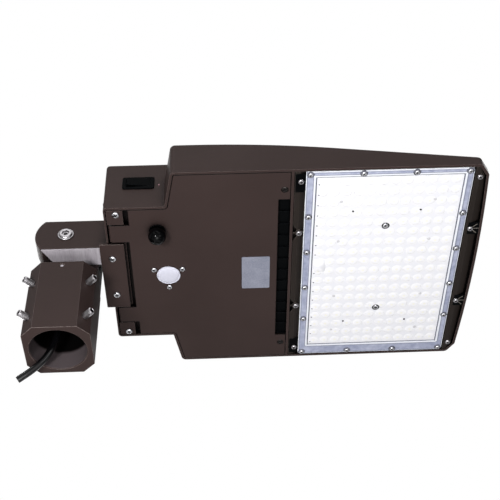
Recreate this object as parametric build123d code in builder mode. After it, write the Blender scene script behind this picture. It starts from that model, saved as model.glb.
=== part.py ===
"""LED area light on a slip fitter: a crowned die-cast head with a finned light engine, a bolted
knuckle and a sleeve for a 60.3 mm tenon. Millimetres, +Z up. The origin is on the tenon's axis at
the sleeve's mouth, +X runs to the far end of the head, and -Y is the side with the rocker switch."""

import os
from math import atan, cos, degrees, pi, radians, sin, sqrt, tan

from build123d import *

# Tenon sleeve
sleeve_flats = 75.0
sleeve_corner = 13.3
sleeve_roof = 11.5
tenon_bore = 63.0
tenon_depth = 90.0
mouth_chamfer = 1.0
roof_hole_d = 14.0
dimple_d = 5.2
dimple_height = 96.0
dimple_depth = 1.0

# Set screws in the two corners on the switch side
set_screw_d = 8.0
set_screw_length = 25.0
set_screw_heights = (21.0, 72.5)
set_screw_socket = 4.0
set_screw_socket_depth = 4.0
running_gap = 0.05

# Knuckle
pivot_height = 147.0
knuckle_r = 36.0
arm_height = 49.5
arm_width = 76.0
arm_edge = 1.0
cheek_thickness = 25.0
ear_thickness = 33.9
ear_gap = 0.3
ear_inset = 1.0
neck_reach = 24.0
arm_gap = 4.0
pivot_bolt_d = 10.0
bolt_head_d = 18.8
bolt_head_height = 5.5
bolt_socket = 6.0
bolt_socket_depth = 3.0
washer_d = 20.0
washer_thickness = 2.0
nut_height = 8.0
nut_flats = 16.0
bolt_past_nut = 2.0
cable_way_d = 12.0
cable_way_height = 130.0

# Arm base, its four bolts and the bare strip under the cheek
plate_start = 42.5
plate_length = 28.5
plate_width = 103.0
plate_thickness = 4.0
plate_corner = 1.0
plate_drop = 1.0
plate_screw_inset = 15.0
plate_screw_spacing = 59.2
arm_bolt_d = 6.0
arm_bolt_head_d = 10.0
arm_bolt_head = 4.0
arm_bolt_reach = 11.0
arm_bolt_spacing_y = 52.0
arm_bolt_spacing_z = 30.0
strip_thickness = 1.5
strip_tip = 26.3
strip_root = 11.5
strip_right = 41.0

# Head, seen from above
head_start = 51.5
shoulder_width = 211.0
shoulder_end = 120.0
step_length = 9.0
head_width = 307.0
corner_reach = 7.0
nose_reach = 9.5
nose_narrowing = 29.0
nose_bulge = 4.5
plan_radius = 6.0
step_radius = 1.0
wall = 3.0
near_lip = 2.0
end_wall = 4.5

# Head, seen from the side
rim_height = 113.4
box_top = 191.0
box_end = 262.0
box_corner = 4.5
box_round = 3.0
box_wall = 3.5
wing_top = 164.2
wing_round = 3.0
crown_start = 150.0
crown_length = 160.0
crown_drop = 12.0
roof = 4.0

# Driver door and its seal
door_thickness = 3.2
door_seam = 0.8
door_end = 260.5
gasket_width = 5.0
gasket_thickness = 1.7
gasket_gap = 0.3
gasket_inset = 1.2
gasket_start = 84.5
gasket_end = 246.0
land_thickness = 3.0
land_width = 9.0
lip_gap = 1.0
lip_thickness = 2.0
lip_height = 5.0
door_screw_x = 254.3
door_screw_spacing = 251.0
captive_gap = 0.7
door_screw_reach = 8.0
door_boss_r = 5.5

# Door hinge and the corner blocks that carry its pins
hinge_x = 57.4
hinge_barrel_r = 2.3
hinge_pin_d = 3.0
tab_inner = 54.5
tab_outer = 79.0
notch_end = 77.2
notch_gap = 2.2
corner_notch_end = 79.0
pocket_end = 82.0
pin_grip = 12.0
pin_hold = 10.0
block_gap = 1.0
block_edge = 0.5
block_length = 18.5
block_width = 21.0
block_raise = 0.2
block_screw_x = 65.0
block_screw_inset = 5.5

# Air slot between the door and the light engine
slot_start = 247.5
slot_width = 223.0
baffle_gap = 0.5
baffle_web = 1.6
baffle_rise = 1.8
baffle_louvres = 12

# Light engine
engine_gap = 0.9
engine_margin = 5.5
engine_level = 117.2
engine_plate = 4.1
ledge_drop = 3.0
ledge_flat = 5.4
ledge_gap = 1.3
fin_count = 19
fin_thickness = 2.6
fin_pitch = 14.6
fin_margin = 3.0
fin_inset = 2.5
beam_inset = 1.0
window_margin = 2.0
window_side = 13.5
engine_screw_x = 271.8
engine_screw_far = 7.0
engine_screw_side = 17.5
engine_screw_middle = (60.0, 59.5)
strut_half = 12.0
strut_rib = 1.8
strut_depth = 4.2
engine_screw_boss = 4.4

# Lens, its gasket and the board
lens_start = 277.0
lens_length = 186.0
lens_side = 4.2
lens_flange = 3.0
lens_corner = 4.0
lens_gasket = 0.8
lens_gasket_width = 8.0
field_margin_near = 13.0
field_margin_far = 11.0
field_margin_side = 12.3
field_rise = 3.5
field_wall = 1.8
lens_bevel = 1.2
board_gap = 1.2
board_thickness = 1.6
lens_screw_near = 5.0
lens_screw_far = 5.0
lens_screw_side = 4.1
lens_screw_rows = (29.0, 84.0)
lens_screw_spacing = 58.5

# Small fasteners
small_shank_d = 4.0
small_head_d = 7.6
small_head_height = 2.2
small_reach = 6.0
lens_shank_d = 3.0
lens_head_d = 6.4
lens_head_height = 1.8
lens_hold = 3.0
hole_gap = 0.1

# What the door carries
photocell_x = 110.3
photocell_y = -70.0
dome_r = 10.3
dome_drop = 8.9
dome_flange_r = 9.5
dome_flange = 1.5
dome_stem_r = 6.0
stem_above = 3.5
sensor_x = 119.4
sensor_y = 0.5
sensor_r = 13.9
sensor_depth = 2.5
sensor_neck_r = 12.0
sensor_flange_r = 23.5
sensor_flange = 3.0
sensor_body_r = 15.0
sensor_body_height = 19.4
sensor_screw_ring = 19.4
label_x = 222.5
label_length = 33.0
label_width = 51.5
label_thickness = 0.3
label_y = 0.75

# What the bay holds
driver_x = 208.0
driver_length = 176.0
driver_width = 62.0
driver_height = 36.0
driver_foot = 9.0
driver_foot_thickness = 2.0
terminal_x = 136.0
terminal_length = 18.0
terminal_width = 52.0
terminal_height = 16.0
terminal_ways = 4
surge_x = 112.0
surge_y = 62.0
surge_r = 14.0
surge_height = 30.0

# Rocker switch on the shoulder's wall
switch_x = 90.0
switch_height = 155.5
bezel_length = 36.0
bezel_width = 19.5
bezel_thickness = 2.0
switch_length = 31.0
switch_width = 16.5
switch_depth = 22.0
rocker_r = 13.6
rocker_width = 12.0
rocker_low = 5.0
rocker_swing = 13.0
rocker_valley = 2.5
rocker_root = 5.0
rocker_room = 12.0
rocker_axle = -0.5
rocker_gap = 0.3
rocker_pin_d = 2.4
rocker_pin_reach = 1.5

# Supply cord: a pigtail that hangs out of the sleeve
cord_d = 8.0
cord_gap = 0.15
bushing_collar_r = 11.0
bushing_collar = 3.0
bushing_taper = 22.0
bushing_tip_r = 5.6
bushing_top_r = 8.5
cord_route = (
    (0.0, 0.0, 76.0),
    (0.0, 0.0, 60.0),
    (-1.4, 2.0, 43.0),
    (-4.2, 6.0, 27.4),
    (-9.2, 10.6, 12.8),
    (-16.8, 14.6, 0.4),
    (-26.6, 18.0, -8.6),
    (-37.0, 21.2, -15.6),
    (-45.5, 23.6, -20.4),
)

# Derived sizes
sleeve_height = tenon_depth + sleeve_roof
bore_r = tenon_bore / 2
sleeve_half = sleeve_flats / 2
arm_half = arm_width / 2
cheek_face = arm_half - cheek_thickness
ear_near = cheek_face - ear_gap
ear_far = ear_thickness - ear_near
ear_r = knuckle_r - ear_inset
arm_face = sleeve_half + arm_gap
arm_bottom = pivot_height - arm_height / 2
plate_bottom = rim_height - plate_drop
plate_top = plate_bottom + plate_thickness
plate_end = plate_start + plate_length
plate_screw_x = plate_end - plate_screw_inset
shoulder_half = shoulder_width / 2
head_half = head_width / 2
step_end = shoulder_end + step_length
lens_end = lens_start + lens_length
corner_start = lens_end + corner_reach
nose_corner = corner_start + nose_reach
nose_corner_half = (head_width - nose_narrowing) / 2
head_end = nose_corner + nose_bulge
crown_end = crown_start + crown_length
crown_slope = tan(2 * atan(crown_drop / crown_length))
inner_start = head_start + end_wall
recess_start = head_start + near_lip
door_top = rim_height + door_thickness
door_inset = wall + door_seam
land = door_top + gasket_thickness + gasket_gap
land_top = land + land_thickness
opening_inset = wall + land_width
opening_start = gasket_start + gasket_width + lip_gap
opening_end = gasket_end - gasket_width - lip_gap
lip_inset = opening_inset + lip_gap
lip_start = opening_start + lip_gap
lip_end = opening_end - lip_gap
box_roof = box_top - roof
cross_wall = door_end + door_seam
engine_bay = cross_wall + wall
engine_start = engine_bay + engine_gap
engine_inset = wall + engine_gap
engine_top = engine_level + engine_plate
ledge_bottom = engine_level - ledge_drop
engine_end = head_end - engine_margin
fin_start = lens_start + fin_inset + beam_inset
fin_end = lens_end - fin_inset
beam_start = lens_start + beam_inset
window_half = head_half - window_side
lens_half = head_half - lens_side
flange_top = engine_level - lens_gasket
flange_bottom = flange_top - lens_flange
field_start = lens_start + field_margin_near
field_end = lens_end - field_margin_far
field_half = lens_half - field_margin_side
hinge_z = rim_height + hinge_barrel_r
notch_half = plate_width / 2 + notch_gap
block_outer = shoulder_half - wall - block_gap
block_inner = block_outer - block_width
block_bottom = rim_height + block_raise
block_start = recess_start + block_gap
small_hole_r = small_shank_d / 2 + hole_gap
captive_hole_r = small_shank_d / 2 + captive_gap
lens_hole_r = lens_shank_d / 2 + hole_gap
engine_far = lens_end + engine_screw_far
engine_middle = ((engine_screw_x, engine_screw_middle[0]), (engine_far, engine_screw_middle[1]))
engine_sides = [(x, head_half - engine_screw_side) for x in (engine_screw_x, engine_far)]
engine_strut_places = [(x, side * y) for x, y in engine_middle for side in (-1, 1)]
lens_rows = [
    (lens_start + lens_screw_near, y) for y in lens_screw_rows
] + [
    (lens_end - lens_screw_far, y) for y in lens_screw_rows
]
lens_columns = (
    lens_start + lens_screw_near,
    lens_end - lens_screw_far - 2 * lens_screw_spacing,
    lens_end - lens_screw_far - lens_screw_spacing,
    lens_end - lens_screw_far,
)
lens_screw_places = [
    (x, side * y) for x, y in lens_rows for side in (-1, 1)
] + [
    (x, side * (lens_half - lens_screw_side)) for x in lens_columns for side in (-1, 1)
]

os.makedirs("parts", exist_ok=True)


def write(part, name):
    """Labels a finished piece and writes it under its node's name."""
    part.label = name
    export_step(part, f"parts/{name}.step")


def mirrored(points):
    """The same places on both sides of the head's middle line."""
    return [(x, side * y) for x, y in points for side in (-1, 1)]


# The head's plan: one side from the end wall to the nose, the arc of the nose, the other side
with BuildSketch() as head_plan:
    with BuildLine():
        one_side = [
            (head_start, shoulder_half),
            (shoulder_end, shoulder_half),
            (step_end, head_half),
            (corner_start, head_half),
            (nose_corner, nose_corner_half),
        ]
        other_side = [(x, -y) for x, y in one_side]
        Polyline(*one_side)
        ThreePointArc(one_side[-1], (head_end, 0), other_side[-1])
        Polyline(*other_side)
        Line(other_side[0], one_side[0])
    make_face()
    fillet(head_plan.vertices().group_by(Axis.X)[0], box_corner)
    fillet(head_plan.vertices().filter_by_position(Axis.X, shoulder_end - 1, shoulder_end + 1), step_radius)
    fillet(head_plan.vertices().filter_by_position(Axis.X, step_end - 1, corner_start + 1), plan_radius)


def plan_strip(inset, start, end):
    """The head's plan drawn in by inset and cut off at two stations along X."""
    with BuildSketch() as strip:
        add(head_plan.sketch)
        offset(amount=-inset, kind=Kind.INTERSECTION)
        with Locations(((start + end) / 2, 0)):
            Rectangle(end - start, head_width, mode=Mode.INTERSECT)
    return strip.sketch


def crown_profile(lowered, start, end):
    """Side view under the crowned top: flat over the bay, then falling to the nose."""
    top = wing_top - lowered
    knee = top - crown_drop
    tip = knee - crown_slope * (end - crown_end)
    foot = rim_height - ledge_drop
    with BuildSketch(Plane.XZ) as profile:
        with BuildLine():
            Polyline(
                (crown_start, top),
                (start, top),
                (start, foot),
                (end, foot),
                (end, tip),
                (crown_end, knee),
            )
            TangentArc((crown_start, top), (crown_end, knee), tangent=(1, 0))
        make_face()
    return profile.sketch


def screw_row(points, seat, shank_d, reach, head_d, head_height):
    """Screws driven upwards into a seat, their heads hanging below it."""
    with BuildPart() as screws:
        with BuildSketch(Plane.XY.offset(seat)):
            with Locations(*points):
                Circle(head_d / 2)
        extrude(amount=-head_height)
        chamfer(screws.faces().group_by(Axis.Z)[0].edges(), head_height * 0.35)
        with BuildSketch(Plane.XY.offset(seat)):
            with Locations(*points):
                Circle(shank_d / 2)
        extrude(amount=reach)
    return screws.part


def round_bars(points, start, radius, height):
    """Upright round bars, to drill a row of holes or to raise a row of bosses."""
    with BuildPart() as bars:
        with BuildSketch(Plane.XY.offset(start)):
            with Locations(*points):
                Circle(radius)
        extrude(amount=height)
    return bars.part


# Tenon sleeve: square casting with cut corners. The knuckle's ear stands on the far half of its
# roof, with its outer side straight up to the pivot so that the arm can't droop past it
with BuildPart() as tenon_sleeve:
    with BuildSketch() as sleeve_plan:
        Rectangle(sleeve_flats, sleeve_flats)
        chamfer(sleeve_plan.vertices(), sleeve_corner)
    extrude(amount=sleeve_height)
    with BuildSketch(Plane.XZ.offset(ear_near)):
        with Locations(((sleeve_half - neck_reach) / 2, (sleeve_height + pivot_height) / 2)):
            Rectangle(sleeve_half + neck_reach, pivot_height - sleeve_height)
        with Locations(((sleeve_half - ear_r) / 2, pivot_height)):
            SlotCenterToCenter(sleeve_half - ear_r, 2 * ear_r)
    extrude(amount=-ear_thickness)
    with BuildSketch():
        Circle(bore_r)
    extrude(amount=tenon_depth, mode=Mode.SUBTRACT)
    chamfer(tenon_sleeve.edges().filter_by(GeomType.CIRCLE).sort_by(Axis.Z)[0], mouth_chamfer)
    with BuildSketch(Plane.XY.offset(tenon_depth)):
        Circle(roof_hole_d / 2)
    extrude(amount=cable_way_height - tenon_depth, mode=Mode.SUBTRACT)
    with BuildSketch(Plane.YZ):
        with Locations((0, cable_way_height)):
            Circle(cable_way_d / 2)
    extrude(amount=arm_face, mode=Mode.SUBTRACT)
    with BuildSketch(Plane.XZ):
        with Locations((0, pivot_height)):
            Circle(pivot_bolt_d / 2 + running_gap)
    extrude(amount=arm_half, both=True, mode=Mode.SUBTRACT)
    with BuildSketch(Plane.XZ.offset(sleeve_half)):
        with Locations((0, dimple_height)):
            Circle(dimple_d / 2)
    extrude(amount=-dimple_depth, mode=Mode.SUBTRACT)
    for side in (-1, 1):
        for height in set_screw_heights:
            drill = Plane(origin=(0, 0, height), x_dir=(0, 0, 1), z_dir=(side, -1, 0))
            with BuildSketch(drill):
                Circle(set_screw_d / 2 + running_gap)
            extrude(amount=sleeve_flats, mode=Mode.SUBTRACT)
write(tenon_sleeve.part, "tenon_sleeve")

# Set screws: their points are flush with the bore, and each can be driven inwards
corner = 0
for side in (-1, 1):
    for height in set_screw_heights:
        corner += 1
        drill = Plane(origin=(0, 0, height), x_dir=(0, 0, 1), z_dir=(side, -1, 0))
        with BuildPart() as set_screw:
            with BuildSketch(drill.offset(bore_r)):
                Circle(set_screw_d / 2)
            extrude(amount=set_screw_length)
            ends = set_screw.edges().filter_by(GeomType.CIRCLE)
            chamfer(ends, set_screw_d / 10)
            with BuildSketch(drill.offset(bore_r + set_screw_length)):
                RegularPolygon(set_screw_socket / 2, 6, major_radius=False)
            extrude(amount=-set_screw_socket_depth, mode=Mode.SUBTRACT)
        write(set_screw.part, f"set_screw_{corner}")

# Cable bushing: rubber, with a collar under the sleeve's roof and a tapered tail
with BuildPart() as cable_bushing:
    with BuildSketch(Plane.XZ):
        with BuildLine():
            collar_z = tenon_depth - bushing_collar
            Polyline(
                (cord_d / 2 + cord_gap, sleeve_height),
                (roof_hole_d / 2 - hole_gap, sleeve_height),
                (roof_hole_d / 2 - hole_gap, tenon_depth),
                (bushing_collar_r, tenon_depth),
                (bushing_collar_r, collar_z),
                (bushing_top_r, collar_z),
                (bushing_tip_r, collar_z - bushing_taper),
                (cord_d / 2 + cord_gap, collar_z - bushing_taper),
                close=True,
            )
        make_face()
    revolve(axis=Axis.Z)
write(cable_bushing.part, "cable_bushing")

# Supply cord: straight runs joined by arcs as large as the runs allow
route = [Vector(*point) for point in cord_route]
runs = [after - before for before, after in zip(route, route[1:])]
bends = []
for before, after in zip(runs, runs[1:]):
    turn = radians(before.get_angle(after))
    bends.append(0.45 * min(before.length, after.length) / tan(turn / 2))
print("cord bend radii", [round(bend, 1) for bend in bends])
with BuildPart() as supply_cord:
    with BuildLine() as cord_path:
        FilletPolyline(*route, radius=bends)
    with BuildSketch(Plane(origin=route[0], z_dir=runs[0])):
        Circle(cord_d / 2)
    sweep(path=cord_path.wires()[0])
cord_length = cord_path.wires()[0].length
print("cord length", round(cord_length, 1))
cord_volume = cord_length * pi * cord_d**2 / 4
print("cord volume over length times section", round(supply_cord.part.volume / cord_volume, 4))
write(supply_cord.part, "supply_cord")

# Knuckle arm: one cheek that laps the sleeve's ear, a web bolted to the head, and a base plate
arm_bolt_places = [
    (side * arm_bolt_spacing_y / 2, pivot_height + level * arm_bolt_spacing_z / 2)
    for side in (-1, 1)
    for level in (-1, 1)
]
plate_screw_places = [(plate_screw_x, side * plate_screw_spacing / 2) for side in (-1, 1)]
with BuildPart() as mount_arm:
    with BuildSketch(Plane.XZ):
        with Locations((0, pivot_height)):
            Circle(knuckle_r)
        with Locations((head_start / 2, pivot_height)):
            Rectangle(head_start, arm_height)
        with Locations((0, pivot_height)):
            Rectangle(2 * head_start, arm_height, mode=Mode.INTERSECT)
    extrude(amount=arm_half, both=True)
    chamfer(mount_arm.faces().filter_by(Axis.Y).edges().filter_by_position(
        Axis.X, -knuckle_r, head_start - 1), arm_edge)
    with BuildSketch(Plane.XY.offset(plate_top)):
        with Locations(((plate_start + head_start) / 2, 0)):
            Rectangle(head_start - plate_start, arm_width)
    extrude(amount=arm_bottom - plate_top + arm_edge)
    with BuildSketch(Plane.XY.offset(plate_bottom)):
        with Locations(((plate_start + plate_end) / 2, 0)):
            RectangleRounded(plate_length, plate_width, plate_corner)
    extrude(amount=plate_thickness)
    with BuildSketch(Plane.XY.offset(plate_bottom)):
        with Locations(((arm_face - 2 * knuckle_r) / 2, (arm_half - cheek_face) / 2)):
            Rectangle(arm_face + 2 * knuckle_r, arm_half + cheek_face)
    extrude(amount=arm_height * 2, mode=Mode.SUBTRACT)
    with BuildSketch(Plane.XZ):
        with Locations((0, pivot_height)):
            Circle(pivot_bolt_d / 2 + running_gap)
    extrude(amount=arm_half, both=True, mode=Mode.SUBTRACT)
    with BuildSketch(Plane.YZ):
        with Locations((0, cable_way_height)):
            Circle(cable_way_d / 2)
    extrude(amount=head_start, mode=Mode.SUBTRACT)
    with BuildSketch(Plane.YZ.offset(head_start)):
        with Locations(*arm_bolt_places):
            Circle(arm_bolt_d / 2 + hole_gap)
    extrude(amount=-(arm_bolt_reach + hole_gap), mode=Mode.SUBTRACT)
    add(round_bars(plate_screw_places, plate_bottom, small_hole_r, plate_thickness), mode=Mode.SUBTRACT)
write(mount_arm.part, "mount_arm")

# Bare machined face under the cheek, which is clamped there and stays unpainted
with BuildPart() as arm_wear_strips:
    with BuildSketch(Plane.XY.offset(arm_bottom)):
        with BuildLine():
            Polyline(
                (strip_right, -cheek_face),
                (strip_right, -arm_half),
                (-strip_tip, -arm_half),
                (-strip_root, -cheek_face),
                close=True,
            )
        make_face()
    extrude(amount=-strip_thickness)
write(arm_wear_strips.part, "arm_wear_strips")

# Pivot bolt: button head on the switch side, shank through the cheek, the ear and the nut
with BuildPart() as pivot_bolt:
    with BuildSketch(Plane.XY.offset(pivot_height)):
        with BuildLine():
            head_y = -arm_half
            shank_end = ear_far + washer_thickness + nut_height + bolt_past_nut
            face_r = bolt_head_d / 4
            shoulder = head_y - bolt_head_height / 3
            Line((0, head_y - bolt_head_height), (face_r, head_y - bolt_head_height))
            Spline(
                (face_r, head_y - bolt_head_height),
                (bolt_head_d / 2, shoulder),
                tangents=((1, 0), (0, 1)),
            )
            Polyline(
                (bolt_head_d / 2, shoulder),
                (bolt_head_d / 2, head_y),
                (pivot_bolt_d / 2, head_y),
                (pivot_bolt_d / 2, shank_end),
                (0, shank_end),
                (0, head_y - bolt_head_height),
            )
        make_face()
    revolve(axis=Axis((0, 0, pivot_height), (0, 1, 0)))
    with BuildSketch(Plane.XZ.offset(arm_half + bolt_head_height)):
        with Locations((0, pivot_height)):
            RegularPolygon(bolt_socket / 2, 6, major_radius=False)
    extrude(amount=-bolt_socket_depth, mode=Mode.SUBTRACT)
write(pivot_bolt.part, "pivot_bolt")

# Washer and nut on the ear's far side
with BuildPart() as pivot_washer:
    with BuildSketch(Plane.XZ.offset(-ear_far)):
        with Locations((0, pivot_height)):
            Circle(washer_d / 2)
            Circle(pivot_bolt_d / 2 + running_gap, mode=Mode.SUBTRACT)
    extrude(amount=-washer_thickness)
write(pivot_washer.part, "pivot_washer")

with BuildPart() as pivot_nut:
    with BuildSketch(Plane.XZ.offset(-(ear_far + washer_thickness))):
        with Locations((0, pivot_height)):
            RegularPolygon(nut_flats / 2, 6, major_radius=False)
            Circle(pivot_bolt_d / 2 + running_gap, mode=Mode.SUBTRACT)
    extrude(amount=-nut_height)
write(pivot_nut.part, "pivot_nut")

# Bolts that hold the arm to the end wall, driven from inside the bay
with BuildPart() as arm_bolts:
    with BuildSketch(Plane.YZ.offset(inner_start)):
        with Locations(*arm_bolt_places):
            RegularPolygon(arm_bolt_head_d / 2, 6, major_radius=False)
    extrude(amount=arm_bolt_head)
    with BuildSketch(Plane.YZ.offset(inner_start)):
        with Locations(*arm_bolt_places):
            Circle(arm_bolt_d / 2)
    extrude(amount=-(end_wall + arm_bolt_reach))
write(arm_bolts.part, "arm_bolts")

# Screws that pin the base plate to the head's ledge
ledge_reach = plate_thickness + small_reach
plate_screws = screw_row(
    plate_screw_places, plate_bottom, small_shank_d, ledge_reach, small_head_d, small_head_height
)
write(plate_screws, "plate_screws")

# Housing: crowned wings and the driver's box in one casting, open below and over the fins
door_screw_places = mirrored([(door_screw_x, door_screw_spacing / 2)])
block_screw_places = mirrored([(block_screw_x, block_outer - block_screw_inset)])
engine_screw_places = mirrored([*engine_middle, *engine_sides])
driver_screw_places = mirrored([(driver_x, (driver_length + driver_foot) / 2)])
with BuildPart(mode=Mode.PRIVATE) as wing_room:
    with BuildSketch(Plane.XY.offset(land_top)):
        add(plan_strip(box_wall, inner_start, box_end - box_wall))
    extrude(amount=wing_top - land_top)
    with BuildSketch(Plane.XY.offset(engine_top)):
        add(plan_strip(box_wall, beam_start, lens_end))
    extrude(amount=wing_top - engine_top)
    extrude(crown_profile(roof, head_start, head_end), amount=head_half, both=True, mode=Mode.INTERSECT)

with BuildPart() as housing:
    with BuildSketch(Plane.XY.offset(rim_height)):
        add(head_plan.sketch)
    extrude(amount=wing_top - rim_height)
    extrude(crown_profile(0, head_start, head_end), amount=head_half, both=True, mode=Mode.INTERSECT)
    wing_top_face = housing.faces().filter_by(Axis.Z).sort_by(Axis.Z)[-1]
    fillet(wing_top_face.edges().filter_by_position(Axis.X, shoulder_end, step_end), wing_round)
    with BuildSketch(Plane.XY.offset(rim_height)) as box_plan:
        with Locations(((head_start + box_end) / 2, 0)):
            Rectangle(box_end - head_start, shoulder_width)
        fillet(box_plan.vertices().group_by(Axis.X)[0], box_corner)
    extrude(amount=box_top - rim_height)
    fillet(housing.faces().sort_by(Axis.Z)[-1].edges(), box_round)
    # The bay under the box, the hollow wings, and the window over the fins
    with BuildSketch(Plane.XY.offset(land_top)):
        with Locations(((inner_start + box_end - box_wall) / 2, 0)):
            Rectangle(box_end - box_wall - inner_start, shoulder_width - 2 * box_wall)
    extrude(amount=box_roof - land_top, mode=Mode.SUBTRACT)
    add(wing_room.part, mode=Mode.SUBTRACT)
    with BuildSketch(Plane.XY.offset(engine_top)):
        with Locations(((beam_start + lens_end) / 2, 0)):
            Rectangle(lens_end - beam_start - 2 * window_margin, 2 * window_half)
    extrude(amount=box_top - engine_top, mode=Mode.SUBTRACT)
    # The floor over the hinge pocket, and bosses for the door's screws
    with BuildSketch(Plane.XY.offset(land_top)):
        with Locations(((head_start + pocket_end + wall) / 2, 0)):
            Rectangle(pocket_end + wall - head_start, shoulder_width - box_wall)
    extrude(amount=land_thickness)
    add(round_bars(door_screw_places, land_top, door_boss_r, door_screw_reach - land_thickness))
    # From below: the door's recess, the hinge pocket, the bay's mouth and the engine's seat
    with BuildSketch(Plane.XY.offset(rim_height)):
        with Locations(((recess_start + pocket_end) / 2, 0)):
            Rectangle(pocket_end - recess_start, 2 * (shoulder_half - wall))
        add(plan_strip(wall, pocket_end, cross_wall))
    extrude(amount=land - rim_height, mode=Mode.SUBTRACT)
    with BuildSketch(Plane.XY.offset(land)):
        with Locations(((recess_start + pocket_end) / 2, 0)):
            Rectangle(pocket_end - recess_start, 2 * (shoulder_half - wall))
    extrude(amount=land_thickness, mode=Mode.SUBTRACT)
    with BuildSketch(Plane.XY.offset(land)):
        add(plan_strip(opening_inset, opening_start, opening_end))
    extrude(amount=land_thickness, mode=Mode.SUBTRACT)
    with BuildSketch(Plane.XY.offset(rim_height)):
        add(plan_strip(wall, engine_bay, head_end))
    extrude(amount=engine_top - rim_height, mode=Mode.SUBTRACT)
    # The ledge that rests on the arm's base plate
    with BuildSketch(Plane.XY.offset(plate_top)):
        with Locations(((head_start + plate_end + hinge_barrel_r) / 2, 0)):
            Rectangle(plate_end + hinge_barrel_r - head_start, plate_width)
    extrude(amount=land_top - plate_top)
    with BuildSketch(Plane.XY.offset(rim_height)):
        with Locations((head_start + end_wall / 2, 0)):
            Rectangle(end_wall, 2 * notch_half)
    extrude(amount=plate_top - rim_height, mode=Mode.SUBTRACT)
    # Drilled holes
    add(round_bars(plate_screw_places, plate_top, small_hole_r, small_reach + hole_gap), mode=Mode.SUBTRACT)
    add(round_bars(block_screw_places, land_top, small_hole_r, land_thickness), mode=Mode.SUBTRACT)
    add(round_bars(engine_screw_places, engine_top, small_hole_r, small_reach), mode=Mode.SUBTRACT)
    add(round_bars(door_screw_places, land, captive_hole_r, door_screw_reach - hole_gap), mode=Mode.SUBTRACT)
    add(round_bars(driver_screw_places, box_roof, small_hole_r, roof - 1), mode=Mode.SUBTRACT)
    with BuildSketch(Plane.YZ.offset(head_start)):
        with Locations(*arm_bolt_places):
            Circle(arm_bolt_d / 2 + hole_gap)
        with Locations((0, cable_way_height)):
            Circle(cable_way_d / 2)
    extrude(amount=end_wall, mode=Mode.SUBTRACT)
    with BuildSketch(Plane.XZ.offset(shoulder_half)):
        with Locations((switch_x, switch_height)):
            Rectangle(switch_length + 2 * hole_gap, switch_width + 2 * hole_gap)
    extrude(amount=-box_wall, mode=Mode.SUBTRACT)
write(housing.part, "housing")

# Corner blocks: they close the hinge pocket's corners and hold the door's pins
block_seat = block_bottom + small_head_height
block_places = [side * (block_inner + block_outer) / 2 for side in (-1, 1)]
with BuildPart() as corner_blocks:
    with BuildSketch(Plane.XY.offset(block_bottom)):
        with Locations(*[(block_start + block_length / 2, y) for y in block_places]):
            Rectangle(block_length, block_width)
    extrude(amount=land_top - block_bottom)
    chamfer(corner_blocks.edges().filter_by(Axis.Z), block_edge)
    block_height = land_top - block_bottom
    add(round_bars(block_screw_places, block_bottom, small_hole_r, block_height), mode=Mode.SUBTRACT)
    head_room_r = small_head_d / 2 + hole_gap
    add(round_bars(block_screw_places, block_bottom, head_room_r, small_head_height), mode=Mode.SUBTRACT)
    with BuildSketch(Plane.XZ):
        with Locations((hinge_x, hinge_z)):
            Circle(hinge_pin_d / 2 + running_gap)
    extrude(amount=block_inner + pin_grip + block_gap, both=True, mode=Mode.SUBTRACT)
write(corner_blocks.part, "corner_blocks")

block_reach = land_top - block_seat + land_thickness - hole_gap
block_screws = screw_row(
    block_screw_places, block_seat, small_shank_d, block_reach, small_head_d, small_head_height
)
write(block_screws, "corner_block_screws")

# Driver door: a plate flush with the rim, with two hinge tabs, a notch for the arm's base and a
# notch for the air slot
sensor_places = [
    (
        sensor_x + sensor_screw_ring * cos(radians(90 + 120 * step)),
        sensor_y + sensor_screw_ring * sin(radians(90 + 120 * step)),
    )
    for step in range(3)
]
captive_seat = rim_height + small_head_height
with BuildPart() as driver_door:
    with BuildSketch(Plane.XY.offset(rim_height)):
        add(plan_strip(door_inset, hinge_x, door_end))
        with Locations((notch_end - notch_end / 2, 0)):
            Rectangle(notch_end, 2 * notch_half, mode=Mode.SUBTRACT)
        with Locations(*[(corner_notch_end / 2, side * (tab_outer + shoulder_half)) for side in (-1, 1)]):
            Rectangle(corner_notch_end, 2 * shoulder_half, mode=Mode.SUBTRACT)
        with Locations(((slot_start + door_end) / 2, 0)):
            Rectangle(door_end - slot_start, slot_width, mode=Mode.SUBTRACT)
    extrude(amount=door_thickness)
    with BuildSketch(Plane.XY.offset(door_top)):
        add(plan_strip(lip_inset, lip_start, lip_end))
        add(plan_strip(lip_inset + lip_thickness, lip_start + lip_thickness, lip_end - lip_thickness),
            mode=Mode.SUBTRACT)
    extrude(amount=lip_height)
    for side in (-1, 1):
        with BuildSketch(Plane.XZ.offset(-side * tab_inner)):
            with Locations((hinge_x, hinge_z)):
                Circle(hinge_barrel_r)
        extrude(amount=-side * (tab_outer - tab_inner))
    with BuildSketch(Plane.XZ):
        with Locations((hinge_x, hinge_z)):
            Circle(hinge_pin_d / 2 + running_gap)
    extrude(amount=shoulder_half, both=True, mode=Mode.SUBTRACT)
    add(round_bars(door_screw_places, rim_height, small_hole_r, door_thickness), mode=Mode.SUBTRACT)
    add(round_bars(door_screw_places, rim_height, head_room_r, small_head_height), mode=Mode.SUBTRACT)
    add(round_bars(sensor_places, rim_height, small_hole_r, door_thickness), mode=Mode.SUBTRACT)
    add(round_bars([(sensor_x, sensor_y)], rim_height, sensor_neck_r + hole_gap, door_thickness),
        mode=Mode.SUBTRACT)
    add(round_bars([(photocell_x, photocell_y)], rim_height, dome_stem_r + hole_gap, door_thickness),
        mode=Mode.SUBTRACT)
write(driver_door.part, "driver_door")

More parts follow.
